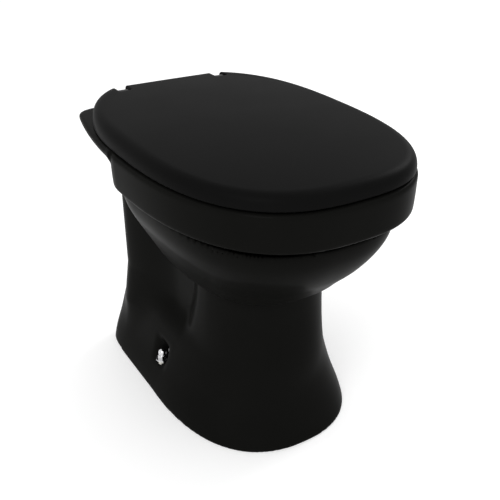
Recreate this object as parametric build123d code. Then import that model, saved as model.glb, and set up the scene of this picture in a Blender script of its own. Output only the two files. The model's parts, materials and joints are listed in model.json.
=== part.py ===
from build123d import *
import os
from math import cos, pi, radians, sin, sqrt

# Floor-standing toilet pan with a horizontal flush inlet under a short rear shelf, a hinged seat
# and a wrap-over lid.  Millimetres.  The floor is z = 0, the front is at -Y, the pan is symmetric
# about x = 0, and the origin is on the floor under the middle of the whole toilet.

os.makedirs("parts", exist_ok=True)

# ---------------------------------------------------------------- driving sizes of the pan
rim_height = 385.0          # floor to the flat top of the rim
rim_half_width = 168.0
front_y = -234.0            # foremost point of the rim
shelf_rear_y = 228.0        # rear edge of the shelf that carries the seat hinges
widest_y = 25.0             # where the rim is widest
rim_band_depth = 46.0       # height of the band round the rim
band_draft = 2.0            # the band leans in by this much towards its lower edge
band_turn = 5.0             # and turns under by this much at the edge
rim_wall = 10.0
band_rear_y = 146.0         # where the band closes behind the bowl
band_rear_squareness = 1.9
shelf_thickness = 12.0
shelf_rear_half_width = 140.5
shelf_side_power = 1.9      # how late the shelf's sides curve in towards the rear
shelf_corner_radius = 14.0
front_squareness = 2.7      # exponent of the front curve of every outline
rear_squareness = 2.6
outline_points = 40         # corners of each many-sided outline

opening_half_width = 118.0  # the hole in the rim
opening_front_y = -180.0
opening_rear_y = 112.0
opening_widest_y = -20.0

bowl_depth = 220.0          # rim top to the bottom of the sump
bowl_wall = 12.0
channel_height = 26.0       # flush channel inside the rim
rinse_hole_radius = 3.0
rinse_hole_count = 12

# ---------------------------------------------------------------- foot and trap housing
foot_half_width = 130.0
foot_front_y = -149.0
foot_widest_y = 35.0
foot_rear_y = 234.0
foot_front_squareness = 2.5
foot_rear_squareness = 9.0
foot_ledge_height = 110.0   # where the sloping skirt meets the recessed side panel
foot_ledge_inset = 36.0     # how far the skirt has sloped in at the ledge
column_half_width = 84.0
column_front_y = -128.0
column_widest_y = -22.0
column_squareness = 1.95
column_top = 262.0
housing_half_width = 78.0   # at the recessed side panels
housing_corner_half_width = 105.0
housing_front_y = -40.0
housing_flare_y = 95.0     # where the side panels start to widen towards the rear corners
housing_rear_y = 210.0
housing_top = 300.0
housing_corner_radius = 28.0
foot_wall = 14.0
hollow_height = 70.0        # height of the hollow under the foot
column_hollow_top = 170.0
pocket_wall = 15.0
pocket_front_y = -20.0
pocket_front_top = 158.0

trap_radius = 26.0
trap_bend_radius = 34.0
trap_dip_y = 18.0
trap_dip_z = 112.0
weir_y = 106.0
weir_z = 222.0
outlet_y = 160.0

# ---------------------------------------------------------------- inlet, outlet and floor fixings
inlet_z = 331.0
inlet_riser_half_width = 20.0
inlet_riser_length = 38.0
inlet_bore_radius = 24.0
inlet_boss_radius = 33.0
inlet_face_y = 216.0
flush_pipe_radius = 19.0
inlet_flange_radius = 29.0
inlet_flange_thickness = 5.0
inlet_seal_length = 34.0

outlet_recess_radius = 56.0
outlet_recess_depth = 22.0
outlet_seal_bore_radius = 40.0
floor_clearance = 1.0

floor_bolt_half_spacing = 110.0
floor_bolt_y = 56.0
floor_bolt_seat_z = 49.0    # flat spot the washer sits on
floor_seat_radius = 12.0
floor_niche_height = 24.0   # room above the flat spot for the nut
floor_boss_radius = 19.0
floor_hole_radius = 6.5
floor_bush_bore_radius = 4.3
floor_washer_radius = 10.0
floor_washer_thickness = 1.6
floor_washer_hole_radius = 4.4
cap_nut_flats = 13.0        # across the flats
cap_nut_hex_height = 6.5
cap_nut_height = 15.0
cap_nut_bore_radius = 4.1
cap_nut_bore_depth = 11.0

# ---------------------------------------------------------------- seat hinge
hinge_half_spacing = 77.5   # seat fixing holes are 155 mm apart
hinge_axis_y = 210.0
hinge_axis_height = 16.0    # pin axis above the rim top
hinge_pin_radius = 3.0
pin_clearance = 0.05
hinge_barrel_radius = 7.5
hinge_post_width = 15.0
hinge_foot_front_y = 181.0
hinge_foot_rear_y = 218.0
hinge_foot_thickness = 4.0
hinge_pad_thickness = 1.5
seat_bolt_y = 191.0
seat_bolt_radius = 4.0
seat_bolt_head_radius = 6.0
seat_bolt_head_height = 2.6
seat_bolt_length = 62.0
seat_bolt_hole_radius = 7.0
bolt_clearance = 0.2
hinge_cap_radius = 7.3
hinge_cap_height = 4.6
hinge_cap_wall = 1.0
seat_bush_cone_radius = 12.0
seat_bush_cone_height = 6.0
seat_washer_radius = 13.0
seat_washer_thickness = 2.0
wing_nut_hub_radius = 8.0
wing_nut_height = 12.0
wing_nut_span = 38.0
wing_thickness = 3.0
lug_gap = 1.5               # side gap between a hinge post and the lugs beside it
lug_width = 6.5
bush_wall = 2.0
seat_lug_radius = 6.3
lid_lug_radius = 7.4

# ---------------------------------------------------------------- seat and lid
lid_inset = 4.2             # lid outline inside the rim outline
lid_gap = 2.0               # rim top to the lid's lower edge
lid_rear_radius = 14.5      # the lid's rear edge is round about the hinge axis
lid_wall = 3.0
lid_top_rear = 26.6         # lid top above the rim, over the hinge
lid_top_front = 20.0        # lid top above the rim, at the front
lid_edge_radius = 9.0
lid_arm_relief = 7.5        # the lid's lower rear edge is cut back to this far below the axis at the arms
lid_widest_y = 22.0
lid_overhang = 38.0         # the lid's outline runs on this far behind the axis before it is cut round
lid_rear_squareness = 3.1
lid_taper = 0.165           # how much the lid narrows towards the hinges
seat_side_gap = 2.0         # seat edge to the inside of the lid
buffer_height = 3.0
seat_thickness = 12.0
seat_edge_radius = 4.5
seat_rear_y = 176.0
seat_hole_half_width = 106.0
seat_hole_front_y = -166.0
seat_hole_rear_y = 98.0
seat_hole_widest_y = -20.0
buffer_radius = 8.0
buffer_clearance = 0.3

# ---------------------------------------------------------------- sizes that follow from the above
rim_band_bottom = rim_height - rim_band_depth
sump_z = rim_height - bowl_depth
hinge_axis_z = rim_height + hinge_axis_height
seat_bottom = rim_height + buffer_height + buffer_clearance
seat_top = seat_bottom + seat_thickness
lid_bottom = rim_height + lid_gap
lid_slope = (lid_top_rear - lid_top_front) / (hinge_axis_y - front_y)
SIDES = (("left", -1), ("right", 1))


def outline(half_width, front, widest, rear, nf=front_squareness, nr=rear_squareness, taper=0.0):
    """Points round an egg-shaped outline: one rounded-square curve in front, one behind."""
    points = []
    for i in range(outline_points):
        a = 2 * pi * i / outline_points
        s, c = sin(a), cos(a)
        n = nf if c > 0 else nr
        x = half_width * abs(s) ** (2 / n) * (1 if s > 0 else -1)
        along = abs(c) ** (2 / n)
        if c > 0:
            points.append((x, widest - (widest - front) * along))
        else:
            points.append((x * (1 - taper * along ** 2), widest + (rear - widest) * along))
    return points


def section(z, *sizes, **shape):
    """A flat face at height z inside an egg-shaped outline."""
    points = [(x, y, z) for x, y in outline(*sizes, **shape)]
    return make_face(Polyline(*points, close=True))


def prism(z_low, z_high, *sizes, **shape):
    return extrude(section(z_low, *sizes, **shape), z_high - z_low)


def upright(radius, x, y, z_low, z_high):
    """A vertical cylinder."""
    return Pos(x, y, z_low) * extrude(Circle(radius), z_high - z_low)


def along_x(radius, x_low, x_high, y, z):
    """A cylinder that lies along X."""
    return Pos(x_low, y, z) * Rot(0, 90, 0) * extrude(Circle(radius), x_high - x_low)


def along_y(radius, y_low, y_high, x, z):
    """A cylinder that lies along Y."""
    return Pos(x, y_low, z) * Rot(-90, 0, 0) * extrude(Circle(radius), y_high - y_low)


def block(x_low, x_high, y_low, y_high, z_low, z_high):
    size = (x_high - x_low, y_high - y_low, z_high - z_low)
    middle = ((x_low + x_high) / 2, (y_low + y_high) / 2, (z_low + z_high) / 2)
    return Pos(*middle) * Box(*size)


# ---------------------------------------------------------------- pan
def shelf():
    """The rear shelf: the rim outline carried straight back to two rounded corners."""
    reach = shelf_rear_y - widest_y
    z = rim_height - shelf_thickness
    narrowing = rim_half_width - shelf_rear_half_width
    side = [
        (rim_half_width - narrowing * t ** shelf_side_power, widest_y + reach * t)
        for t in (0.0, 0.25, 0.5, 0.75, 1.0)
    ]
    right = Spline(*[(x, y, z) for x, y in side])
    left = Spline(*[(-x, y, z) for x, y in side])
    back = Line(left @ 1, right @ 1)
    front = Line(left @ 0, right @ 0)
    body = extrude(make_face([right, back, left, front]), shelf_thickness)
    corners = body.edges().filter_by(Axis.Z).group_by(Axis.Y)[-1]
    return fillet(corners, shelf_corner_radius)


def rim_band():
    """The band round the rim: it leans in slightly and turns under at its lower edge."""
    sections = []
    for drop, inset in ((1.0, band_draft + band_turn), (0.9, band_draft + band_turn / 3),
                        (0.7, band_draft * 0.7), (0.0, 0.0)):
        sections.append(section(rim_height - rim_band_depth * drop, rim_half_width - inset, front_y + inset,
                                widest_y, band_rear_y - inset, nr=band_rear_squareness))
    return loft(sections, ruled=True)


def bowl_outside():
    """The bowl under the band, drawing in to the leg."""
    top = rim_half_width - band_draft - band_turn
    top_front = front_y + band_draft + band_turn
    sections = [
        section(rim_band_bottom + 4.0, top, top_front, widest_y, band_rear_y - 4),
        section(300, top - 17, top_front + 20, widest_y, band_rear_y + 14),
        section(262, top - 38, top_front + 48, widest_y, band_rear_y + 4),
        section(218, top - 62, top_front + 92, widest_y, band_rear_y - 20),
    ]
    return loft(sections, ruled=True)


def column():
    """The front leg, which flares into the foot."""
    shape = dict(nf=column_squareness)
    foot = dict(nf=foot_front_squareness)
    half, front, widest = column_half_width, column_front_y, column_widest_y
    step = (foot_widest_y - widest) / 3
    sections = [
        section(0, foot_half_width, foot_front_y, foot_widest_y, 110, **foot),
        section(55, foot_half_width - 15, foot_front_y + 14, widest + 2 * step, 80, **foot),
        section(110, half + 10, front - 3, widest + step, 50, **shape),
        section(180, half + 2, front + 6, widest, 22, **shape),
        section(column_top, half, front, widest, 20, **shape),
    ]
    return loft(sections, ruled=True)


def foot_levels(*levels):
    """A stack of foot outlines; each level is a height and how far it is drawn in."""
    shape = dict(nf=foot_front_squareness, nr=foot_rear_squareness)
    sections = []
    for z, inset in levels:
        sections.append(section(z, foot_half_width - inset, foot_front_y + inset, foot_widest_y,
                                foot_rear_y - inset * 0.55, **shape))
    return loft(sections, ruled=True)


def foot_skirt():
    """The low skirt round the whole foot, sloping in to the side panels."""
    top, inset = foot_ledge_height, foot_ledge_inset
    return foot_levels((0, 0), (top / 2, inset * 0.35), (top * 0.8, inset * 0.64), (top, inset))


def trap_housing():
    """The housing of the trap: recessed side panels that widen to two rounded rear corners."""
    flare_end = housing_rear_y - housing_corner_radius
    side = [
        (housing_half_width, housing_front_y),
        (housing_half_width, housing_flare_y),
        (housing_corner_half_width - 6, (housing_flare_y + flare_end) / 2 + 10),
        (housing_corner_half_width, flare_end),
        (housing_corner_half_width, housing_rear_y),
    ]
    plan = Polygon(*side, *[(-x, y) for x, y in reversed(side)], align=None)
    body = extrude(plan, housing_top)
    corners = body.edges().filter_by(Axis.Z).group_by(Axis.Y)[-1]
    body = fillet(corners, housing_corner_radius - 1)
    neck_front = opening_rear_y + bowl_wall
    return body + block(-inlet_boss_radius, inlet_boss_radius, neck_front, housing_rear_y - 10,
                        housing_top - 5, rim_height - 4)


def bowl_cavity():
    """The inside of the bowl: the hole in the rim, the bowl under it and the sump."""
    hole = prism(rim_band_bottom - 2, rim_height + 1, opening_half_width, opening_front_y,
                 opening_widest_y, opening_rear_y)
    wall = bowl_wall
    top = rim_half_width - band_draft - band_turn - wall
    top_front = front_y + band_draft + band_turn + wall
    bowl = loft([
        section(rim_band_bottom, top, top_front, 15, opening_rear_y + 8),
        section(300, top - 17, top_front + 20, 15, opening_rear_y),
        section(262, top - 41, top_front + 51, 5, opening_rear_y - 22),
        section(222, 70, -92, 0, 62),
        section(sump_z + 12, 38, -50, -5, 36),
        section(sump_z, 26, -36, -5, 26),
    ], ruled=True)
    return hole + bowl


def flush_channel():
    """The hollow ring in the rim, its inlet bore, and the rinse holes down into the bowl."""
    low = rim_band_bottom + rim_wall
    outer_wall = rim_wall + band_draft / 2
    outer = prism(low, low + channel_height, rim_half_width - outer_wall, front_y + outer_wall,
                  widest_y, band_rear_y - outer_wall, nr=band_rear_squareness)
    inner = prism(low - 1, low + channel_height + 1, opening_half_width + rim_wall,
                  opening_front_y - rim_wall, opening_widest_y, opening_rear_y + rim_wall)
    channel = outer - inner
    riser_front = opening_rear_y + 2 * rim_wall
    channel += along_y(inlet_bore_radius, riser_front, inlet_face_y + 1, 0, inlet_z)
    channel += block(-inlet_riser_half_width, inlet_riser_half_width, riser_front - rim_wall,
                     riser_front - rim_wall + inlet_riser_length, low + 1, low + channel_height)
    channel += block(-inlet_riser_half_width, inlet_riser_half_width, riser_front,
                     riser_front - rim_wall + inlet_riser_length, inlet_z, low + channel_height)
    ring = outline(rim_half_width - 31, front_y + 33, widest_y, opening_rear_y + 14)
    stride = len(ring) / rinse_hole_count
    for i in range(rinse_hole_count):
        x, y = ring[int(i * stride)]
        channel += upright(rinse_hole_radius, x, y, rim_band_bottom - 6, low + 1)
    return channel


def trapway():
    path = FilletPolyline(
        (0, -14, sump_z + 40),
        (0, trap_dip_y, trap_dip_z),
        (0, weir_y, weir_z),
        (0, outlet_y, weir_z - 70),
        (0, outlet_y, outlet_recess_depth - 2),
        radius=trap_bend_radius,
    )
    start = Plane(origin=path @ 0, z_dir=path % 0)
    return sweep(start * Circle(trap_radius), path=path)


def column_hollow():
    """The hollow inside the front leg, open to the hollow of the foot."""
    wall = foot_wall
    half = column_half_width - wall
    front = column_front_y + wall
    return loft([
        section(hollow_height - 10, half, front, -60, -34, nf=column_squareness),
        section(column_hollow_top, half - 14, front + 4, -78, -58, nf=column_squareness),
    ], ruled=True)


def housing_pockets():
    """Hollows on each side of the trapway, so that the casting has walls and not a solid core."""
    pockets = []
    near, far = trap_radius + pocket_wall, housing_half_width - pocket_wall
    rear = housing_rear_y - pocket_wall
    for _, side in SIDES:
        low_x, high_x = sorted((side * near, side * far))
        pockets.append(block(low_x, high_x, pocket_front_y, rear, hollow_height - 10, pocket_front_top))
        pockets.append(block(low_x, high_x, weir_y + pocket_wall, rear, pocket_front_top - 10,
                             housing_top - pocket_wall))
    return pockets


def foot_hollow():
    """The open hollow under the foot, with the outlet horn and the bolt bosses left standing."""
    wall = foot_wall
    hollow = foot_levels((-1, wall), (hollow_height, wall + foot_ledge_inset * 0.6))
    hollow -= upright(outlet_recess_radius + wall, 0, outlet_y, -2, hollow_height + 1)
    for _, side in SIDES:
        x = side * floor_bolt_half_spacing
        hollow -= upright(floor_boss_radius, x, floor_bolt_y, -2, hollow_height + 1)
    return hollow


def pan():
    body = rim_band() + shelf() + bowl_outside() + column() + foot_skirt() + trap_housing()
    body += along_y(inlet_boss_radius, opening_rear_y + bowl_wall + 8, inlet_face_y, 0, inlet_z)
    cuts = [bowl_cavity(), flush_channel(), trapway(), foot_hollow(), column_hollow()]
    cuts += housing_pockets()
    cuts.append(upright(outlet_recess_radius, 0, outlet_y, -1, outlet_recess_depth))
    for _, side in SIDES:
        x = side * floor_bolt_half_spacing
        cuts.append(upright(floor_hole_radius, x, floor_bolt_y, -1, floor_bolt_seat_z + 1))
        cuts.append(upright(floor_seat_radius, x, floor_bolt_y, floor_bolt_seat_z,
                            floor_bolt_seat_z + floor_niche_height))
        cuts.append(upright(seat_bolt_hole_radius, side * hinge_half_spacing, seat_bolt_y,
                            rim_height - shelf_thickness - 1, rim_height + 1))
    return body.cut(*cuts)


# ---------------------------------------------------------------- seals
def inlet_seal():
    """Rubber spud that takes the flush pipe: a sleeve in the boss with a flange outside."""
    sleeve = along_y(inlet_bore_radius, inlet_face_y - inlet_seal_length, inlet_face_y, 0, inlet_z)
    flange = along_y(inlet_flange_radius, inlet_face_y, inlet_face_y + inlet_flange_thickness, 0, inlet_z)
    hole = along_y(flush_pipe_radius, inlet_face_y - inlet_seal_length - 1,
                   inlet_face_y + inlet_flange_thickness + 1, 0, inlet_z)
    return sleeve + flange - hole


def outlet_seal():
    """Rubber ring between the pan's outlet and the collar of the floor pipe."""
    ring = upright(outlet_recess_radius, 0, outlet_y, floor_clearance, outlet_recess_depth)
    return ring - upright(outlet_seal_bore_radius, 0, outlet_y, -1, outlet_recess_depth + 1)


# ---------------------------------------------------------------- floor fixings
def floor_bush(side):
    x = side * floor_bolt_half_spacing
    bush = upright(floor_hole_radius, x, floor_bolt_y, floor_clearance, floor_bolt_seat_z)
    return bush - upright(floor_bush_bore_radius, x, floor_bolt_y, -1, floor_bolt_seat_z + 1)


def floor_washer(side):
    x = side * floor_bolt_half_spacing
    low = floor_bolt_seat_z
    washer = upright(floor_washer_radius, x, floor_bolt_y, low, low + floor_washer_thickness)
    return washer - upright(floor_washer_hole_radius, x, floor_bolt_y, low - 1, low + 10)


def floor_cap_nut(side):
    """Domed cap nut: a hexagon with a round dome, and a blind bore for the floor stud."""
    x = side * floor_bolt_half_spacing
    low = floor_bolt_seat_z + floor_washer_thickness
    corner_radius = cap_nut_flats / sqrt(3)
    hexagon = Pos(x, floor_bolt_y, low) * extrude(RegularPolygon(corner_radius, 6), cap_nut_hex_height)
    dome_radius = cap_nut_flats / 2 - 0.6
    dome_z = low + cap_nut_height - dome_radius
    dome = upright(dome_radius, x, floor_bolt_y, low, dome_z)
    dome += Pos(x, floor_bolt_y, dome_z) * Sphere(dome_radius)
    return hexagon + dome - upright(cap_nut_bore_radius, x, floor_bolt_y, low - 1, low + cap_nut_bore_depth)


# ---------------------------------------------------------------- hinge, fixed half
def hinge_foot_plan(z):
    """Outline of the hinge foot: a slot shape, long from front to back."""
    length = hinge_foot_rear_y - hinge_foot_front_y
    middle_y = (hinge_foot_front_y + hinge_foot_rear_y) / 2
    return Pos(0, middle_y, z) * RectangleRounded(hinge_post_width, length, hinge_post_width / 2 - 0.5)


def hinge_pad(side):
    pad = extrude(hinge_foot_plan(rim_height), hinge_pad_thickness)
    pad -= upright(seat_bolt_hole_radius, 0, seat_bolt_y, rim_height - 1, rim_height + 10)
    return Pos(side * hinge_half_spacing, 0, 0) * pad


def hinge_post(side):
    """Foot plate and barrel; the pin goes through the barrel, the bolt through the plate."""
    low = rim_height + hinge_pad_thickness
    half = hinge_post_width / 2
    foot = extrude(hinge_foot_plan(low), hinge_foot_thickness)
    barrel = along_x(hinge_barrel_radius, -half, half, hinge_axis_y, hinge_axis_z)
    neck = block(-half, half, hinge_axis_y - hinge_barrel_radius, hinge_axis_y + hinge_barrel_radius,
                 low + hinge_foot_thickness / 2, hinge_axis_z)
    post = foot + barrel + neck
    post -= along_x(hinge_pin_radius, -half - 1, half + 1, hinge_axis_y, hinge_axis_z)
    post -= upright(seat_bolt_radius + bolt_clearance, 0, seat_bolt_y, low - 1, low + 20)
    return Pos(side * hinge_half_spacing, 0, 0) * post


def hinge_pin(side):
    """Pin fixed in the post; it carries the seat's lug outboard and the lid's lug inboard."""
    reach = hinge_post_width / 2 + lug_gap + lug_width + 0.5
    x = side * hinge_half_spacing
    return along_x(hinge_pin_radius, x - reach, x + reach, hinge_axis_y, hinge_axis_z)


def seat_bolt(side):
    """Bolt through the hinge foot and the shelf, with a round head."""
    x = side * hinge_half_spacing
    head_z = rim_height + hinge_pad_thickness + hinge_foot_thickness
    head = upright(seat_bolt_head_radius, x, seat_bolt_y, head_z, head_z + seat_bolt_head_height)
    return head + upright(seat_bolt_radius, x, seat_bolt_y, head_z - seat_bolt_length, head_z + 1)


def hinge_cap(side):
    """Snap-on cap over the bolt head."""
    x = side * hinge_half_spacing
    low = rim_height + hinge_pad_thickness + hinge_foot_thickness
    cap = upright(hinge_cap_radius, x, seat_bolt_y, low, low + hinge_cap_height)
    cap = fillet(cap.faces().sort_by(Axis.Z)[-1].edges(), 1.2)
    inside = hinge_cap_radius - hinge_cap_wall
    return cap - upright(inside, x, seat_bolt_y, low - 1, low + hinge_cap_height - hinge_cap_wall)


def seat_bolt_bush(side):
    """Rubber bush: a sleeve in the shelf's hole with a cone below the shelf."""
    x = side * hinge_half_spacing
    low = rim_height - shelf_thickness
    sleeve = upright(seat_bolt_hole_radius, x, seat_bolt_y, low, rim_height - 4)
    cone = loft([
        Pos(x, seat_bolt_y, low - seat_bush_cone_height) * Circle(seat_bush_cone_radius - 3),
        Pos(x, seat_bolt_y, low) * Circle(seat_bush_cone_radius),
    ])
    bore = upright(seat_bolt_radius + bolt_clearance, x, seat_bolt_y, low - 20, rim_height + 1)
    return sleeve + cone - bore


def seat_bolt_washer(side):
    x = side * hinge_half_spacing
    high = rim_height - shelf_thickness - seat_bush_cone_height
    washer = upright(seat_washer_radius, x, seat_bolt_y, high - seat_washer_thickness, high)
    return washer - upright(seat_bolt_radius + bolt_clearance, x, seat_bolt_y, high - 10, high + 1)


def seat_wing_nut(side):
    x = side * hinge_half_spacing
    high = rim_height - shelf_thickness - seat_bush_cone_height - seat_washer_thickness
    low = high - wing_nut_height
    hub = upright(wing_nut_hub_radius, x, seat_bolt_y, low, high)
    half_span = wing_nut_span / 2
    wings = Plane.XZ * Polygon((-half_span, low - 6), (half_span, low - 6), (half_span - 4, high - 3),
                               (-half_span + 4, high - 3), align=None)
    wings = Pos(x, seat_bolt_y, 0) * extrude(wings, wing_thickness / 2, both=True)
    nut = hub + fillet(wings.edges().filter_by(Axis.Y), 2.5)
    return nut - upright(seat_bolt_radius, x, seat_bolt_y, low - 20, high + 1)


# ---------------------------------------------------------------- seat
def lug_span(side, outboard):
    """X range of a lug beside the hinge post: outboard for the seat, inboard for the lid."""
    near = hinge_post_width / 2 + lug_gap
    far = near + lug_width
    centre = side * hinge_half_spacing
    direction = side if outboard else -side
    ends = sorted((centre + direction * near, centre + direction * far))
    return ends[0], ends[1]


def hinge_bush(side, outboard):
    """Nylon bush in a lug, running on the pin."""
    low, high = lug_span(side, outboard)
    outer = hinge_pin_radius + pin_clearance + bush_wall
    bush = along_x(outer, low, high, hinge_axis_y, hinge_axis_z)
    return bush - along_x(hinge_pin_radius + pin_clearance, low - 1, high + 1, hinge_axis_y, hinge_axis_z)


def seat_plate(inset, z, hole):
    """One level of the seat's edge, or of the hole's edge when hole is true."""
    if hole:
        return section(z, seat_hole_half_width + inset, seat_hole_front_y - inset, seat_hole_widest_y,
                       seat_hole_rear_y + inset)
    gap = lid_inset + lid_wall + seat_side_gap + inset
    return section(z, rim_half_width - gap, front_y + gap, lid_widest_y,
                   hinge_axis_y + lid_overhang - gap, nr=lid_rear_squareness, taper=lid_taper)


def seat_body(hole):
    """The seat's plate, or the plug of its hole, with the upper edge rounded in short steps."""
    levels = [seat_plate(0, seat_bottom - (1 if hole else 0), hole)]
    for turn in (0, 30, 60, 90):
        a = radians(turn)
        z = seat_top - seat_edge_radius * (1 - sin(a))
        levels.append(seat_plate(seat_edge_radius * (1 - cos(a)), z, hole))
    if hole:
        levels.append(seat_plate(seat_edge_radius, seat_top + 1, hole))
    return loft(levels, ruled=True)


def seat_ring():
    ring = seat_body(False) - seat_body(True)
    ring -= block(-200, 200, seat_rear_y, 400, 0, 500)
    arm_top = seat_top - 1.0
    profile = [
        (seat_rear_y - 8, seat_bottom + 0.6),
        (hinge_axis_y - 14, seat_bottom + 0.6),
        (hinge_axis_y - 5, hinge_axis_z - 4.9),
        (hinge_axis_y - 1, hinge_axis_z + seat_lug_radius - 0.1),
        (hinge_axis_y - 12, hinge_axis_z + 4),
        (seat_rear_y - 8, arm_top),
    ]
    for _, side in SIDES:
        low, high = lug_span(side, True)
        arm = Plane.YZ.offset(low) * Polygon(*profile, align=None)
        ring += extrude(arm, high - low)
        ring += along_x(seat_lug_radius, low, high, hinge_axis_y, hinge_axis_z)
        bore = hinge_pin_radius + pin_clearance + bush_wall
        ring -= along_x(bore, low - 1, high + 1, hinge_axis_y, hinge_axis_z)
    return ring


def seat_buffers():
    """Four rubber buffers under the seat, just off the rim."""
    low = rim_height + buffer_clearance
    places = ((118, -118), (128, 60))
    return [upright(buffer_radius, side * x, y, low, seat_bottom) for _, side in SIDES for x, y in places]


# ---------------------------------------------------------------- lid
def lid_section(inset, height=None, z=None):
    """The lid's outline, drawn in by inset: level at z, or sloping at a height over the rim front."""
    points = outline(rim_half_width - lid_inset - inset, front_y + lid_inset + inset, lid_widest_y,
                     hinge_axis_y + lid_overhang - inset, nr=lid_rear_squareness, taper=lid_taper)
    if z is None:
        return [(x, y, rim_height + height + lid_slope * (y - front_y)) for x, y in points]
    return [(x, y, z) for x, y in points]


def lid_solid(shrink, low):
    """The lid's outer form, or with shrink the form of its hollow."""
    top = lid_top_front - shrink
    edge = lid_edge_radius
    rings = [lid_section(shrink, z=low), lid_section(shrink, height=top - edge)]
    for turn in (30, 60, 90):
        a = radians(turn)
        rings.append(lid_section(shrink + edge * (1 - cos(a)), height=top - edge * (1 - sin(a))))
    body = loft([make_face(Polyline(*ring, close=True)) for ring in rings], ruled=True)
    behind = block(-300, 300, hinge_axis_y, hinge_axis_y + 100, low - 50, rim_height + 100)
    behind -= along_x(lid_rear_radius - shrink, -301, 301, hinge_axis_y, hinge_axis_z)
    return body - behind


def lid():
    shell = lid_solid(0, lid_bottom) - lid_solid(lid_wall, lid_bottom - 20)
    for _, side in SIDES:
        centre = side * hinge_half_spacing
        half = hinge_post_width / 2 + lug_gap
        slot_front = hinge_axis_y - 13
        shell -= block(centre - half, centre + half, slot_front, hinge_axis_y + 30, rim_height - 5,
                       rim_height + 60)
        low, high = lug_span(side, True)
        shell -= block(low - lug_gap, high + lug_gap, slot_front, hinge_axis_y + 30, rim_height - 5,
                       hinge_axis_z - lid_arm_relief)
        low, high = lug_span(side, False)
        web = block(low, high, hinge_axis_y - 9, hinge_axis_y + 4, hinge_axis_z,
                    hinge_axis_z + lid_rear_radius)
        web &= lid_solid(0, lid_bottom)
        shell += web + along_x(lid_lug_radius, low, high, hinge_axis_y, hinge_axis_z)
        bore = hinge_pin_radius + pin_clearance + bush_wall
        shell -= along_x(bore, low - 1, high + 1, hinge_axis_y, hinge_axis_z)
    return shell


def lid_buffers():
    """Four rubber buffers inside the lid, just off the seat."""
    buffers = []
    for _, side in SIDES:
        for x, y in ((112, -128), (128, 40)):
            roof = rim_height + lid_top_front - lid_wall + lid_slope * (y - buffer_radius - front_y)
            buffers.append(upright(buffer_radius - 2, side * x, y, seat_top + buffer_clearance, roof))
    return buffers


# ---------------------------------------------------------------- write one file per piece
def save(name, shape):
    solids = shape if isinstance(shape, list) else [shape]
    flat = [solid for item in solids for solid in item.solids()]
    piece = flat[0] if len(flat) == 1 else Compound(children=flat)
    export_step(piece, "parts/" + name + ".step")


save("pan", pan())
save("inlet_seal", inlet_seal())
save("outlet_seal", outlet_seal())
save("seat_ring", seat_ring())
save("seat_buffers", seat_buffers())
save("lid", lid())
save("lid_buffers", lid_buffers())
for word, sign in SIDES:
    save("floor_bush_" + word, floor_bush(sign))
    save("floor_washer_" + word, floor_washer(sign))
    save("floor_cap_nut_" + word, floor_cap_nut(sign))
    save("hinge_pad_" + word, hinge_pad(sign))
    save("hinge_post_" + word, hinge_post(sign))
    save("hinge_pin_" + word, hinge_pin(sign))
    save("seat_bolt_" + word, seat_bolt(sign))
    save("hinge_cap_" + word, hinge_cap(sign))
    save("seat_bolt_bush_" + word, seat_bolt_bush(sign))
    save("seat_bolt_washer_" + word, seat_bolt_washer(sign))
    save("seat_wing_nut_" + word, seat_wing_nut(sign))
    save("seat_hinge_bush_" + word, hinge_bush(sign, True))
    save("lid_hinge_bush_" + word, hinge_bush(sign, False))
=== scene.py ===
# %% [markdown]
# # A floor-standing toilet pan in black china
# The working model gives the exact places of every piece.  This lesson puts the finished skins on
# it: the glazed casting, the seat and the lid are made here as smooth meshes, and the small
# fittings keep their working meshes and get proper finishes.

# %% Load the working model
import json
import math

import bpy
import numpy as np
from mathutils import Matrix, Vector


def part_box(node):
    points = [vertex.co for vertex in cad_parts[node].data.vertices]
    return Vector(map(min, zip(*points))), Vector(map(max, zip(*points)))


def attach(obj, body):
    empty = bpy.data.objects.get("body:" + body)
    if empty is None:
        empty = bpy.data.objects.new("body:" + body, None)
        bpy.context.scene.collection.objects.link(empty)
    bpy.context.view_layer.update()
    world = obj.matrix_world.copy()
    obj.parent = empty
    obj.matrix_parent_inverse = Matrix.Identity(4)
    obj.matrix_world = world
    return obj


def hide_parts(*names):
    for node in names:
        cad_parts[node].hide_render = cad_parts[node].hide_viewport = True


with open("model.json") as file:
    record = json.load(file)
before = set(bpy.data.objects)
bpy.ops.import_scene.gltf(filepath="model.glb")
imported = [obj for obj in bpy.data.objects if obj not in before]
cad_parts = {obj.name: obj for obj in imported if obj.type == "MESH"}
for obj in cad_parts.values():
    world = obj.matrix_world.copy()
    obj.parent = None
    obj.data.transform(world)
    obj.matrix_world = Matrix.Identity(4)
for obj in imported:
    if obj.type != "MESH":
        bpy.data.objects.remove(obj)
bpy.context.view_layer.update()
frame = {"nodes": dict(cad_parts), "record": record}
mm = 0.001
print("pieces in the working model:", len(frame["nodes"]))

# %% [markdown]
# ## Sizes that everything shares
# A skin must sit exactly where the working piece sits, so its main sizes are read from the boxes of
# the working pieces.  Only shape values that no box can give, such as how square a curve is, are
# written out.

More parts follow.
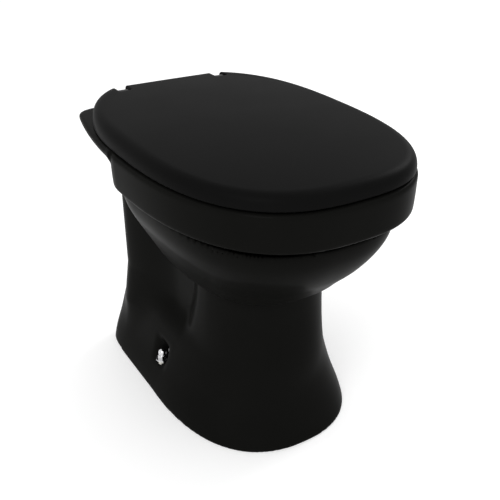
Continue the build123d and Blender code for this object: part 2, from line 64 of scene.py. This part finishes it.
# %% Main sizes, from the boxes
pan_low, pan_high = (Vector(c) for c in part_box("pan"))
lid_low, lid_high = (Vector(c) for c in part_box("lid"))
seat_low, seat_high = (Vector(c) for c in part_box("seat_ring"))
pin_low, pin_high = (Vector(c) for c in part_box("hinge_pin_right"))
foot_nut_low, foot_nut_high = (Vector(c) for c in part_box("floor_cap_nut_right"))
bolt_low, bolt_high = (Vector(c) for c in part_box("seat_bolt_right"))
inlet_low, inlet_high = (Vector(c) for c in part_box("inlet_seal"))
outlet_low, outlet_high = (Vector(c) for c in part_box("outlet_seal"))
rim_z = pan_high.z
rim_half = pan_high.x
rim_front = pan_low.y
foot_rear = pan_high.y
shelf_rear = foot_rear - 6 * mm
widest_y = 25 * mm
nut_x = (foot_nut_low.x + foot_nut_high.x) / 2
nut_y = (foot_nut_low.y + foot_nut_high.y) / 2
bolt_y = (bolt_low.y + bolt_high.y) / 2
inlet_z = (inlet_low.z + inlet_high.z) / 2
outlet_y = (outlet_low.y + outlet_high.y) / 2
axis_y = (pin_low.y + pin_high.y) / 2
axis_z = (pin_low.z + pin_high.z) / 2
post_x = (pin_low.x + pin_high.x) / 2
print("rim height", round(rim_z, 3), "hinge axis", round(axis_y, 3), round(axis_z, 3))

# %% [markdown]
# ## Shapes as distances
# China is cast, so every edge is soft and one form runs into the next.  That is hard to get by
# cutting and filleting, and easy when a form is a function that says how far a point is from its
# surface: negative inside, positive outside.  Two such functions join softly when the smaller of
# them is taken with a rounded corner, and one is carved out of another in the same way.

# %% Rounded minimum and maximum
def join(a, b, soft):
    """Both forms together, with a fillet about as wide as soft."""
    h = np.maximum(soft - np.abs(a - b), 0.0) / soft
    return np.minimum(a, b) - h * h * soft / 4


def keep(a, b, soft):
    """Only what is inside both forms, with a rounded edge."""
    return -join(-a, -b, soft)


def carve(a, b, soft):
    """The form a with b taken out of it."""
    return keep(a, -b, soft)


# %% [markdown]
# The outlines of the rim, the bowl and the foot are all the same kind of curve: a rounded square in
# front and another behind, which meet where the piece is widest.  The exponent says how square it is.

# %% The egg outline as a distance
def egg(x, y, half, front, widest, rear, n_front=2.7, n_rear=2.6, taper=0.0):
    """Distance to an outline; taper narrows its rear half by that share at the very rear."""
    ahead = y < widest
    t = np.where(ahead, (widest - y) / (widest - front), (y - widest) / (rear - widest))
    n = np.where(ahead, n_front, n_rear)
    width = half * (1 - np.where(ahead, 0.0, taper) * np.minimum(t, 1.1) ** 2)
    size = ((np.abs(x) / width) ** n + t ** n) ** (1 / n)
    reach = np.hypot(x, y - widest)
    return reach * (1 - 1 / np.maximum(size, 1e-3))


def level_values(z, heights, values):
    """A smooth curve through one value for each height."""
    heights, values = np.asarray(heights), np.asarray(values)
    slopes = np.gradient(values, heights)
    i = np.clip(np.searchsorted(heights, z) - 1, 0, len(heights) - 2)
    step = heights[i + 1] - heights[i]
    t = np.clip((z - heights[i]) / step, 0, 1)
    start = (1 + 2 * t) * (1 - t) ** 2 * values[i] + t * (1 - t) ** 2 * step * slopes[i]
    end = t * t * (3 - 2 * t) * values[i + 1] + t * t * (t - 1) * step * slopes[i + 1]
    return start + end


def stack(x, y, z, levels, soft_top, soft_bottom, **shape):
    """A form whose outline changes with height; a level is (z, half width, front, widest, rear)."""
    table = np.array(levels) * mm
    columns = [level_values(z, table[:, 0], table[:, k]) for k in range(1, 5)]
    side = egg(x, y, *columns, **shape)
    body = keep(side, z - table[-1, 0], soft_top)
    return keep(body, table[0, 0] - z, soft_bottom)


# %% More simple forms
def rod(u, v, w, u0, v0, radius, w_low, w_high, soft=1.5 * mm):
    """A cylinder along w."""
    return keep(np.hypot(u - u0, v - v0) - radius, np.maximum(w_low - w, w - w_high), soft)


def brick(x, y, z, low, high, soft=3 * mm):
    """A block between two corners."""
    d = np.maximum(low[0] - x, x - high[0])
    d = keep(d, np.maximum(low[1] - y, y - high[1]), soft)
    return keep(d, np.maximum(low[2] - z, z - high[2]), soft)


TUBE_BEND_SOFT = 20 * mm


def tube(x, y, z, points, radius):
    """A bent tube in the plane x = 0."""
    nearest = None
    for (y0, z0), (y1, z1) in zip(points, points[1:]):
        length2 = (y1 - y0) ** 2 + (z1 - z0) ** 2
        t = np.clip(((y - y0) * (y1 - y0) + (z - z0) * (z1 - z0)) / length2, 0, 1)
        d = np.sqrt(x ** 2 + (y - y0 - t * (y1 - y0)) ** 2 + (z - z0 - t * (z1 - z0)) ** 2)
        nearest = d if nearest is None else join(nearest, d, TUBE_BEND_SOFT)
    return nearest - radius


# %% [markdown]
# ## From a distance to a mesh
# The space is divided into small cells.  Where the distance changes sign inside a cell, the surface
# passes through it, and one vertex goes there; neighbouring cells share faces of four corners.  Each
# vertex is then pulled exactly onto the surface along the slope of the distance.  The result is an
# even net of quads with no seams, which is what a glaze needs to shade well.

# %% The net maker
CORNERS = [(i, j, k) for i in (0, 1) for j in (0, 1) for k in (0, 1)]
PROBE = 0.2 * mm            # step for measuring the slope of a distance
LEAST_SLOPE_SQUARED = 0.04  # so that a flat spot can't throw a vertex far away


def pull(distance, points, rounds, limit):
    """Moves points onto the surface where the distance is zero."""
    steps = PROBE * np.eye(3)
    for _ in range(rounds):
        here = distance(*points.T)
        slope = np.stack([distance(*(points + step).T) - here for step in steps], 1) / PROBE
        steep = np.maximum((slope ** 2).sum(1), LEAST_SLOPE_SQUARED)
        move = -slope * (here / steep)[:, None]
        length = np.linalg.norm(move, axis=1)[:, None]
        points = points + move * np.minimum(1, limit / np.maximum(length, 1e-9))
    return points


def net(distance, low, high, cell):
    """Vertices and quads of the surface of a form inside a box."""
    axes = [np.arange(a - 1.5 * c, b + 2.5 * c, c) for a, b, c in zip(low, high, cell)]
    values = np.empty([len(a) for a in axes])
    for k, z in enumerate(axes[2]):
        xs, ys = np.meshgrid(axes[0], axes[1], indexing="ij")
        values[:, :, k] = distance(xs, ys, np.full_like(xs, z))
    nx, ny, nz = (n - 1 for n in values.shape)
    corner = {c: values[c[0]:nx + c[0], c[1]:ny + c[1], c[2]:nz + c[2]] for c in CORNERS}
    inside = sum((corner[c] < 0).astype(int) for c in CORNERS)
    active = (inside > 0) & (inside < 8)
    total = np.zeros((active.sum(), 3))
    count = np.zeros(active.sum())
    for a in CORNERS:
        for axis in range(3):
            if a[axis]:
                continue
            b = tuple(v + (axis == n) for n, v in enumerate(a))
            va, vb = corner[a][active], corner[b][active]
            crosses = (va < 0) != (vb < 0)
            t = np.where(crosses, va / np.where(crosses, va - vb, 1), 0)
            place = np.tile(np.array(a, float), (len(t), 1))
            place[:, axis] += t
            total += place * crosses[:, None]
            count += crosses
    cells = np.argwhere(active)
    origin = np.array([a[0] for a in axes])
    vertices = origin + (cells + total / count[:, None]) * np.array(cell)
    number = -np.ones(active.shape, int)
    number[active] = np.arange(len(vertices))
    quads = []
    for axis in range(3):
        u, v = (axis + 1) % 3, (axis + 2) % 3
        first = [slice(1, n) for n in (nx, ny, nz)]
        second = list(first)
        first[axis] = slice(0, (nx, ny, nz)[axis])
        second[axis] = slice(1, (nx, ny, nz)[axis] + 1)
        va, vb = values[tuple(first)], values[tuple(second)]
        crossing = np.argwhere((va < 0) != (vb < 0))
        rising = va[tuple(crossing.T)] < 0
        base = crossing + np.array([0 if n == axis else 1 for n in range(3)])
        ring = []
        for du, dv in ((0, 0), (1, 0), (1, 1), (0, 1)):
            spot = base.copy()
            spot[:, u] -= du
            spot[:, v] -= dv
            ring.append(number[tuple(spot.T)])
        ring = np.stack(ring, 1)
        ring[~rising] = ring[~rising][:, ::-1]
        quads.append(ring)
    return vertices, np.concatenate(quads)


def relax(vertices, quads, rounds):
    """Moves each vertex towards the middle of its neighbours."""
    ends = np.concatenate([quads[:, [0, 1]], quads[:, [1, 2]], quads[:, [2, 3]], quads[:, [3, 0]]])
    for _ in range(rounds):
        total = np.zeros_like(vertices)
        np.add.at(total, ends[:, 0], vertices[ends[:, 1]])
        np.add.at(total, ends[:, 1], vertices[ends[:, 0]])
        count = np.bincount(ends.ravel(), minlength=len(vertices))[:, None]
        vertices = 0.5 * vertices + 0.5 * total / count
    return vertices


LONGEST_PULL = 0.7  # of a cell


def skin(name, distance, low, high, cell):
    """A finished mesh object of a form."""
    vertices, quads = net(distance, low, high, cell)
    limit = LONGEST_PULL * min(cell)
    vertices = pull(distance, vertices, 3, limit)
    vertices = pull(distance, relax(vertices, quads, 2), 3, limit)
    mesh = bpy.data.meshes.new(name)
    mesh.from_pydata(vertices.tolist(), [], quads.tolist())
    mesh.validate()
    mesh.shade_smooth()
    piece = bpy.data.objects.new(name, mesh)
    bpy.context.scene.collection.objects.link(piece)
    print(name, len(mesh.vertices), "vertices", len(mesh.polygons), "faces")
    return piece


# %% [markdown]
# ## The casting
# The pan is one casting.  Outside it has an upright band round the rim, a thin shelf behind that
# carries the seat, the bowl under the band, a front leg that flares into the foot, and a narrower
# housing for the trap behind the leg.  Each is a stack of outlines, softly joined.

# %% Outlines of the outside, from the floor up
# Each level is height, half width, front, widest place and rear, in millimetres.
front_mm = rim_front / mm
rear_mm = foot_rear / mm
half_mm = rim_half / mm
rim_mm = rim_z / mm
band_bottom_mm = rim_mm - 46  # the band is 46 high
BAND = [
    (band_bottom_mm, half_mm - 1.5, front_mm + 1.5, 25, 145),
    (band_bottom_mm + 12, half_mm - 0.8, front_mm + 0.8, 25, 146),
    (rim_mm, half_mm, front_mm, 25, 147),
]
BAND_SHAPE = dict(n_front=2.6, n_rear=1.9)
BOWL = [
    (214, 97, -133, 25, 126),
    (235, 108, -152, 25, 136),
    (262, 123, -179, 25, 149),
    (300, 142, -205, 25, 158),
    (345, 150, -215, 25, 142),
]
LEG = [
    (-10, 132, -156, 30, 110),
    (55, 111, -134, 12, 80),
    (110, 93, -129, -10, 50),
    (180, 85, -121, -26, 20),
    (262, 83, -128, -26, 15),
]
SKIRT = [
    (-10, 134, -158, 38, rear_mm),
    (16, 128, -148, 38, rear_mm),
    (52, 115, -134, 38, rear_mm - 1),
    (88, 104, -120, 38, rear_mm - 4),
    (124, 92, -108, 38, rear_mm - 12),
]
LEG_SHAPE = dict(n_front=2.1)
FOOT_SHAPE = dict(n_front=2.5, n_rear=9.0)

# %% The shelf behind the bowl
SHELF_THICKNESS = 12 * mm
SHELF_NARROWING = 27.5 * mm
SHELF_CURVE = 1.9
SHELF_CORNER = 22 * mm
SHELF_START = 45 * mm


def shelf_form(x, y, z):
    t = np.clip((y - widest_y) / (shelf_rear - widest_y), 0, 1.2)
    width = rim_half - SHELF_NARROWING * t ** SHELF_CURVE
    plan = keep(np.abs(x) - width, y - shelf_rear, SHELF_CORNER)
    plan = np.maximum(plan, SHELF_START - y)
    plate = keep(plan, z - rim_z, 5 * mm)
    return keep(plate, rim_z - SHELF_THICKNESS - z, 8 * mm)


# %% The trap housing
HOUSING_WIDTH = 75      # half of it at the recessed panels, in millimetres
HOUSING_FLARE = 31      # more at the rear corners
HOUSING_FOOT_FLARE = 9  # more again near the floor
HOUSING_FRONT = -44 * mm
HOUSING_REAR = 211 * mm
HOUSING_TOP = 300 * mm
FLARE_START = 60 * mm
FLARE_LENGTH = 115 * mm
FOOT_FLARE_TOP = 150 * mm
FOOT_FLARE_HEIGHT = 60 * mm


def housing_form(x, y, z):
    """Waisted side panels and a fuller upright corner at the rear."""
    t = np.clip((y - FLARE_START) / FLARE_LENGTH, 0, 1)
    low = np.clip((FOOT_FLARE_TOP - z) / FOOT_FLARE_HEIGHT, 0, 1)
    flare = (HOUSING_FLARE + HOUSING_FOOT_FLARE * low) * mm
    width = HOUSING_WIDTH * mm + flare * t * t * (3 - 2 * t)
    plan = keep(np.abs(x) - width, y - HOUSING_REAR, 50 * mm)
    plan = keep(plan, HOUSING_FRONT - y, 20 * mm)
    return keep(plan, np.maximum(z - HOUSING_TOP, -z), 24 * mm)


# %% The whole outside
BOSS_RADIUS = 33 * mm   # round the flush inlet
BOSS_START = 140 * mm
NECK_LOW = (-BOSS_RADIUS, 132 * mm, 290 * mm)
NECK_HIGH = (BOSS_RADIUS, 190 * mm, rim_z - 6 * mm)


def outside(x, y, z):
    band = stack(x, y, z, BAND, 6 * mm, 5 * mm, **BAND_SHAPE)
    band = join(band, shelf_form(x, y, z), 6 * mm)
    bowl = stack(x, y, z, BOWL, 4 * mm, 14 * mm)
    leg = stack(x, y, z, LEG, 10 * mm, 1 * mm, **LEG_SHAPE)
    skirt = stack(x, y, z, SKIRT, 28 * mm, 1 * mm, **FOOT_SHAPE)
    boss_end = inlet_high.y - 5 * mm
    boss = rod(x, z, y, 0, inlet_z, BOSS_RADIUS, BOSS_START, boss_end, 4 * mm)
    neck = brick(x, y, z, NECK_LOW, NECK_HIGH)
    low_part = join(join(leg, skirt, 8 * mm), housing_form(x, y, z), 14 * mm)
    body = join(bowl, low_part, 3 * mm)
    body = join(join(body, boss, 10 * mm), neck, 10 * mm)
    body = join(body, band, 5 * mm)
    ends = np.maximum(np.maximum(np.abs(x) - rim_half, rim_front - y), y - foot_rear)
    return keep(np.maximum(body, ends), -z, 4 * mm)


# %% [markdown]
# Inside, the hole in the rim is smaller than the bowl below it, so the rim hangs over the bowl and
# hides the rinse holes.  The bowl narrows to the sump, and the trapway leaves it, dips, climbs over
# the weir and drops to the outlet in the floor.  The foot is hollow underneath.

# %% Inside of the casting
# Levels again, as for the outside.
BOWL_INSIDE = [
    (165, 26, -36, -5, 26),
    (177, 38, -50, -5, 36),
    (222, 70, -92, 0, 62),
    (262, 107, -163, 5, 90),
    (300, 132, -195, 15, 112),
    (337, 147, -213, 15, 121),
]
RIM_HOLE = [(325, 118, -180, -20, 112), (rim_mm + 20, 118, -180, -20, 112)]
FOOT_HOLLOW = [(-20, 114, -133, 20, rear_mm - 8), (70, 92, -111, 20, rear_mm - 28)]
TRAP_RADIUS = 26 * mm
OUTLET_WALL_RADIUS = 70 * mm
NUT_WALL_RADIUS = 19 * mm
OUTLET_RECESS_RADIUS = 56 * mm
TRAP = [(-14, 205), (18, 112), (106, 222), (outlet_y / mm, 152), (outlet_y / mm, -20)]


def inside(x, y, z):
    bowl = stack(x, y, z, BOWL_INSIDE, 10 * mm, 20 * mm)
    hole = stack(x, y, z, RIM_HOLE, 1 * mm, 1 * mm)
    hollow = join(bowl, hole, 4 * mm)
    trap = tube(x, y, z, [(a * mm, b * mm) for a, b in TRAP], TRAP_RADIUS)
    return join(hollow, trap, 10 * mm)


def underside(x, y, z):
    hollow = stack(x, y, z, FOOT_HOLLOW, 14 * mm, 1 * mm, **FOOT_SHAPE)
    hollow = carve(hollow, np.hypot(x, y - outlet_y) - OUTLET_WALL_RADIUS, 8 * mm)
    from_nut = np.hypot(np.abs(x) - nut_x, y - nut_y)
    hollow = carve(hollow, from_nut - NUT_WALL_RADIUS, 6 * mm)
    recess = rod(x, y, z, 0, outlet_y, OUTLET_RECESS_RADIUS, -50 * mm, outlet_high.z)
    return np.minimum(hollow, recess)


# %% Holes for the fittings
WASHER_THICKNESS = 1.6 * mm
NICHE_RADIUS = 12.5 * mm
NICHE_HEIGHT = 24 * mm
STUD_HOLE_RADIUS = 6.5 * mm
SEAT_BOLT_HOLE_RADIUS = 7 * mm
INLET_RADIUS = 24 * mm
INLET_START = 136 * mm


def fixing_holes(x, y, z):
    """The niche over each floor fixing, and all the drilled holes."""
    side = np.abs(x)
    seat_z = foot_nut_low.z - WASHER_THICKNESS
    niche_top = seat_z + NICHE_HEIGHT
    niche = rod(side, y, z, nut_x, nut_y, NICHE_RADIUS, seat_z, niche_top, 8 * mm)
    stud = rod(side, y, z, nut_x, nut_y, STUD_HOLE_RADIUS, -20 * mm, 80 * mm)
    bolt = rod(side, y, z, post_x, bolt_y, SEAT_BOLT_HOLE_RADIUS, rim_z - 40 * mm, rim_z + 20 * mm)
    inlet = rod(x, z, y, 0, inlet_z, INLET_RADIUS, INLET_START, 300 * mm)
    return niche, np.minimum(np.minimum(stud, bolt), inlet)


# %% The casting
def casting(x, y, z):
    body = carve(outside(x, y, z), inside(x, y, z), 7 * mm)
    body = carve(body, underside(x, y, z), 3 * mm)
    niche, holes = fixing_holes(x, y, z)
    body = carve(body, niche, 14 * mm)
    return carve(body, holes, 1.5 * mm)


# %% Make the casting skin
cell = 3 * mm
china = skin("china_casting", casting, pan_low, pan_high, (cell, cell, cell))
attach(china, "pan_body")
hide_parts("pan")

# %% [markdown]
# ## The lid and the seat
# Both are moulded in plastic.  The lid is a thin shell that wraps over the seat: its skirt comes down
# to just above the rim, its top is slightly crowned and slopes towards the front, and its rear edge
# is round about the hinge pins so that it can swing.  Two slots clear the hinge posts.

# %% The lid
LID_FRONT_RISE = 20 * mm
LID_REAR_RISE = 26.6 * mm
LID_WIDEST_Y = 22 * mm
LID_CURVE = dict(n_rear=3.1, taper=0.165)
LID_OVERHANG = 38 * mm      # behind the hinge axis
LID_CROWN = 3 * mm
LID_CROWN_LENGTH = 230 * mm
LID_REAR_RADIUS = 14.5 * mm
LID_WALL = 3.6 * mm
LID_TOP_WALL = 3.2 * mm
HINGE_GAP = 9 * mm
SLOT_DEPTH = 13 * mm        # in front of the hinge axis
ARM_RELIEF = 7.5 * mm       # below the hinge axis
LUG_WIDTH = 6.5 * mm
LID_LUG_RADIUS = 7.4 * mm
LUG_BORE = 5.05 * mm
lid_half = lid_high.x
lid_front = lid_low.y
lid_rear = axis_y + LID_OVERHANG


def lid_shape(x, y, z, shrink, top_drop):
    """The lid's solid form; shrink and top_drop make the smaller form that hollows it."""
    side = egg(x, y, lid_half - shrink, lid_front + shrink, LID_WIDEST_Y, lid_rear - shrink,
               **LID_CURVE)
    slope = (LID_REAR_RISE - LID_FRONT_RISE) / (axis_y - rim_front)
    out = np.clip(np.hypot(x / lid_half, y / LID_CROWN_LENGTH), 0, 1)
    crown = LID_CROWN * (1 - out ** 2) - 0.5 * mm
    top = rim_z + LID_FRONT_RISE + slope * (y - rim_front) + crown - top_drop
    body = keep(side, z - top, 17 * mm)
    behind = y - axis_y
    round_rear = np.where(behind > 0, np.hypot(behind, z - axis_z), np.abs(z - axis_z))
    return keep(body, round_rear - (LID_REAR_RADIUS - shrink), 1.5 * mm)


def lug_parts(x, y, z, middle_x, radius):
    """Distance to a lug's side faces, its round boss and the bore for its bush."""
    sides = np.abs(np.abs(x) - middle_x) - LUG_WIDTH / 2
    from_axis = np.hypot(y - axis_y, z - axis_z)
    bore = keep(from_axis - LUG_BORE, sides - 1 * mm, 0.5 * mm)
    return sides, from_axis - radius, bore


def lid_form(x, y, z):
    outer = keep(lid_shape(x, y, z, 0.0, 0.0), lid_low.z - z, 2 * mm)
    shell = carve(outer, lid_shape(x, y, z, LID_WALL, LID_TOP_WALL), 1.5 * mm)
    from_post = np.abs(np.abs(x) - post_x)
    slot_front = axis_y - SLOT_DEPTH - y
    slot = keep(from_post - HINGE_GAP, slot_front, 4 * mm)
    shell = carve(shell, slot, 1.5 * mm)
    relief = np.maximum(post_x - np.abs(x), np.abs(x) - post_x - HINGE_GAP - LUG_WIDTH - 1.5 * mm)
    relief = np.maximum(np.maximum(relief, slot_front), z - axis_z + ARM_RELIEF)
    shell = carve(shell, relief, 1 * mm)
    lug_x = post_x - HINGE_GAP - LUG_WIDTH / 2
    sides, boss, bore = lug_parts(x, y, z, lug_x, LID_LUG_RADIUS)
    web = np.maximum(np.maximum(axis_y - 9 * mm - y, y - axis_y - 4 * mm), axis_z - z)
    web = np.maximum(web, lid_shape(x, y, z, 0.8 * mm, 0.8 * mm))
    lug = keep(np.minimum(boss, web), sides, 1 * mm)
    shell = np.minimum(shell, lug)
    return carve(shell, bore, 0.5 * mm)


# %% Make the lid skin
lid_cell = ((1.8 * mm, 1.8 * mm, 1.5 * mm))
lid_skin = skin("lid_shell", lid_form, lid_low, lid_high + Vector((0, 0, 4 * mm)), lid_cell)
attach(lid_skin, "lid")
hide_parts("lid")

# %% [markdown]
# The seat is a flat ring with a rounded upper edge.  It lies inside the lid, so its outline is the
# lid's drawn in.  Two arms reach back from it to the hinge pins, outside the posts.

# %% The seat ring
SEAT_HOLE = dict(half=106 * mm, front=-166 * mm, widest=-20 * mm, rear=98 * mm)
SEAT_THICKNESS = 12 * mm
SEAT_REAR = 176 * mm
SEAT_LUG_RADIUS = 6.3 * mm
ARM_START = 168 * mm
ARM_BEND = 180 * mm
ARM_UNDERSIDE_SLOPE = 0.83
ARM_TOP_SLOPE = 0.36


def seat_form(x, y, z):
    gap = rim_half - seat_high.x
    side = egg(x, y, rim_half - gap, rim_front + gap, LID_WIDEST_Y, lid_rear - gap, **LID_CURVE)
    hole = egg(x, y, **SEAT_HOLE)
    top = seat_low.z + SEAT_THICKNESS
    plan = carve(side, hole, 0.5 * mm)
    body = keep(plan, z - top, 9 * mm)
    body = keep(body, y - SEAT_REAR, 6 * mm)
    body = keep(body, seat_low.z - z, 2.5 * mm)
    lug_x = post_x + HINGE_GAP + LUG_WIDTH / 2
    sides, boss, bore = lug_parts(x, y, z, lug_x, SEAT_LUG_RADIUS)
    rise = np.maximum((y - (axis_y - 14 * mm)) * ARM_UNDERSIDE_SLOPE, 0)
    arm_low = seat_low.z + 0.6 * mm + rise
    lift = np.maximum(y - ARM_BEND, 0) * ARM_TOP_SLOPE
    arm_high = np.minimum(axis_z + 6 * mm, seat_high.z - 8 * mm + lift)
    arm_ends = np.maximum(ARM_START - y, y - axis_y)
    arm = np.maximum(np.maximum(arm_low - z, z - arm_high), arm_ends)
    lug = keep(np.minimum(boss, arm), sides, 1 * mm)
    body = np.minimum(body, lug)
    return carve(body, bore, 0.5 * mm)


# %% Make the seat skin
seat_skin = skin("seat_shell", seat_form, seat_low, seat_high, lid_cell)
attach(seat_skin, "seat")
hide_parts("seat_ring")

# %% [markdown]
# ## Finishes
# Shader maths reads best as plain sums.  A small class wraps a socket, so that noise * 0.2 + 0.3
# adds the right nodes.

# %% Shader maths
class Wire:
    """A socket that can be used in sums."""

    def __init__(self, tree, socket):
        self.tree = tree
        self.socket = socket

    def make(self, kind, settings, out=0, **inputs):
        """Adds any node: its settings first, then values or links by socket name or number."""
        node = self.tree.nodes.new(kind)
        for key, value in settings.items():
            setattr(node, key, value)
        for key, value in inputs.items():
            by_number = key[0] == "i" and key[1:].isdigit()
            socket = node.inputs[int(key[1:]) if by_number else key.replace("_", " ")]
            if isinstance(value, Wire):
                self.tree.links.new(value.socket, socket)
            else:
                socket.default_value = value
        return Wire(self.tree, node.outputs[out])

    def maths(self, operation, a, b):
        return self.make("ShaderNodeMath", dict(operation=operation), i0=a, i1=b)

    def __add__(self, other):
        return self.maths("ADD", self, other)

    def __radd__(self, other):
        return self.maths("ADD", other, self)

    def __sub__(self, other):
        return self.maths("SUBTRACT", self, other)

    def __rsub__(self, other):
        return self.maths("SUBTRACT", other, self)

    def __mul__(self, other):
        return self.maths("MULTIPLY", self, other)

    def __rmul__(self, other):
        return self.maths("MULTIPLY", other, self)

    def blend(self, dark, light):
        """A colour between two, by this value."""
        return self.make("ShaderNodeMix", dict(data_type="RGBA", clamp_factor=True), out=2,
                         i0=self, i6=dark, i7=light)


def finish(name, **constants):
    """A new material with its shader's fixed values set; gives the shader and a first wire."""
    material = bpy.data.materials.new(name)
    material.use_nodes = True
    tree = material.node_tree
    shader = tree.nodes["Principled BSDF"]
    for key, value in constants.items():
        shader.inputs[key.replace("_", " ")].default_value = value
    place = tree.nodes.new("ShaderNodeTexCoord")
    return material, shader, Wire(tree, place.outputs["Object"])


def plug(shader, name, wire):
    wire.tree.links.new(wire.socket, shader.inputs[name])


def noise(place, scale, detail=3.0):
    return place.make("ShaderNodeTexNoise", dict(noise_dimensions="3D"), Vector=place, Scale=scale,
                      Detail=detail)


def bump(place, height, strength, depth):
    return place.make("ShaderNodeBump", {}, Height=height, Strength=strength, Distance=depth)


# %% [markdown]
# Black vitreous glaze is nearly pure black under a clear skin.  It pools a little, so the skin has a
# slow waviness called orange peel, and fine dust specks in the kiln leave it a touch uneven.  Its
# reflection is set much weaker than a real glaze has, so that it stays dark in a white studio.

# %% Black glaze
glaze, shader, place = finish("black_glaze", Specular_IOR_Level=0.006, Coat_Roughness=0.12,
                              Coat_IOR=1.2)
cloud = noise(place, 9.0)
speck = noise(place, 420.0, 2.0)
peel = noise(place, 60.0, 1.0)
plug(shader, "Base Color", cloud.blend((0.0042, 0.0042, 0.0038, 1), (0.0060, 0.0060, 0.0055, 1)))
plug(shader, "Roughness", cloud * 0.10 + speck * 0.05 + 0.30)
plug(shader, "Coat Weight", cloud * 0.04 + 0.03)
plug(shader, "Normal", bump(place, peel * 0.7 + speck * 0.05, 0.25, 0.25 * mm))
china.data.materials.append(glaze)

# %% Black moulded seat plastic
plastic, shader, place = finish("black_seat_plastic", Specular_IOR_Level=0.012)
cloud = noise(place, 12.0)
grain = noise(place, 900.0, 1.0)
plug(shader, "Base Color", cloud.blend((0.0038, 0.0038, 0.0038, 1), (0.0050, 0.0050, 0.0049, 1)))
plug(shader, "Roughness", cloud * 0.08 + grain * 0.06 + 0.36)
plug(shader, "Normal", bump(place, grain, 0.12, 0.05 * mm))
for piece in (lid_skin, seat_skin):
    piece.data.materials.append(plastic)


# %% [markdown]
# The small fittings keep their working meshes, so each only needs a finish.  Moulded pieces are soft
# and cloudy, and plated ones are bright metal with very fine scratches.

# %% Small fittings
def moulded(name, dark, light, rough, spread, scale):
    material, shader, place = finish(name, Specular_IOR_Level=0.4)
    cloud = noise(place, scale)
    grain = noise(place, scale * 12, 2.0)
    plug(shader, "Base Color", cloud.blend((*dark, 1), (*light, 1)))
    plug(shader, "Roughness", cloud * spread + rough)
    plug(shader, "Normal", bump(place, grain, 0.2, 0.05 * mm))
    return material


def plated(name, dark, light, rough):
    material, shader, place = finish(name)
    cloud = noise(place, 160.0)
    scratch = noise(place, 1500.0, 2.0)
    shader.inputs["Metallic"].default_value = 1.0
    plug(shader, "Base Color", cloud.blend((*dark, 1), (*light, 1)))
    plug(shader, "Roughness", scratch * 0.08 + rough)
    plug(shader, "Normal", bump(place, scratch, 0.06, 0.02 * mm))
    return material


FINISHES = {
    "black_rubber": moulded("soft_black_rubber", (0.010,) * 3, (0.018,) * 3, 0.6, 0.2, 60),
    "grey_rubber": moulded("grey_buffer_rubber", (0.05,) * 3, (0.07,) * 3, 0.6, 0.2, 60),
    "hinge_plastic": moulded("black_hinge_plastic", (0.010,) * 3, (0.014,) * 3, 0.35, 0.1, 40),
    "white_nylon": moulded("natural_nylon", (0.60, 0.59, 0.54), (0.70, 0.69, 0.64), 0.45, 0.1, 80),
    "chrome_brass": plated("chrome_plate", (0.62, 0.62, 0.63), (0.78, 0.78, 0.79), 0.07),
    "steel": plated("stainless_steel", (0.45, 0.45, 0.45), (0.58, 0.57, 0.56), 0.25),
}
# %% Give each fitting the finish of its slot
slot_of = {row["node"]: row["material_slot"] for row in frame["record"]["subparts"]}
for node, piece in frame["nodes"].items():
    material = FINISHES.get(slot_of[node])
    if material is None:
        continue
    piece.data.materials.clear()
    piece.data.materials.append(material)
print("finished fittings:", sum(1 for n in slot_of.values() if n in FINISHES))

# %% [markdown]
# ## Floor, light and camera
# A pale floor that runs to the horizon, a pale sky and large soft lamps make the quiet look of a
# catalogue.  Black glaze shows only what it mirrors, so the lamps draw its edges.

# %% Floor
reach = 30.0
corners = [(-reach, -reach, 0), (reach, -reach, 0), (reach, reach, 0), (-reach, reach, 0)]
floor_mesh = bpy.data.meshes.new("floor")
floor_mesh.from_pydata(corners, [], [(0, 1, 2, 3)])
floor = bpy.data.objects.new("floor", floor_mesh)
bpy.context.scene.collection.objects.link(floor)
pale, shader, place = finish("pale_floor", Specular_IOR_Level=0.1, Roughness=0.9,
                             Emission_Color=(1, 1, 1, 1), Emission_Strength=0.2)
plug(shader, "Base Color", noise(place, 3.0).blend((0.90, 0.90, 0.90, 1), (0.93, 0.93, 0.93, 1)))
floor_mesh.materials.append(pale)

# %% Sky and lamps
world = bpy.data.worlds.new("studio")
world.use_nodes = True
sky = world.node_tree.nodes["Background"]
sky.inputs["Color"].default_value = (1, 1, 1, 1)
sky.inputs["Strength"].default_value = 0.95
bpy.context.scene.world = world
bpy.context.scene.view_settings.view_transform = "Standard"


def lamp(name, place, target, size, watts):
    """A round soft lamp that looks at a target."""
    light = bpy.data.lights.new(name, "AREA")
    light.shape = "DISK"
    light.size = size
    light.energy = watts
    item = bpy.data.objects.new(name, light)
    bpy.context.scene.collection.objects.link(item)
    item.location = place
    item.rotation_euler = (Vector(target) - Vector(place)).to_track_quat("-Z", "Y").to_euler()


lamp("key_softbox", (-1.6, -1.2, 2.2), (0, 0, 0.25), 1.2, 18)
lamp("rim_softbox", (1.8, 0.6, 1.5), (0, 0, 0.3), 0.8, 10)

# %% [markdown]
# The camera stands in front, to the left and above, and looks down at the pan.  Its focal length is
# stated as a number of sensor widths.

# %% Camera
SENSOR_WIDTH = 36.0
FOCAL_IN_WIDTHS = 723.0 / 500
camera_data = bpy.data.cameras.new("camera")
camera = bpy.data.objects.new("camera", camera_data)
bpy.context.scene.collection.objects.link(camera)
azimuth, elevation = math.radians(-31.4), math.radians(28.2)
camera.location = (-0.4505, -0.7484, 0.6933)
forward = Vector((-math.sin(azimuth) * math.cos(elevation), math.cos(azimuth) * math.cos(elevation),
                  -math.sin(elevation)))
camera.rotation_euler = forward.to_track_quat("-Z", "Y").to_euler()
camera_data.sensor_width = SENSOR_WIDTH
camera_data.lens = FOCAL_IN_WIDTHS * SENSOR_WIDTH
camera_data.clip_start = 0.01
bpy.context.scene.camera = camera
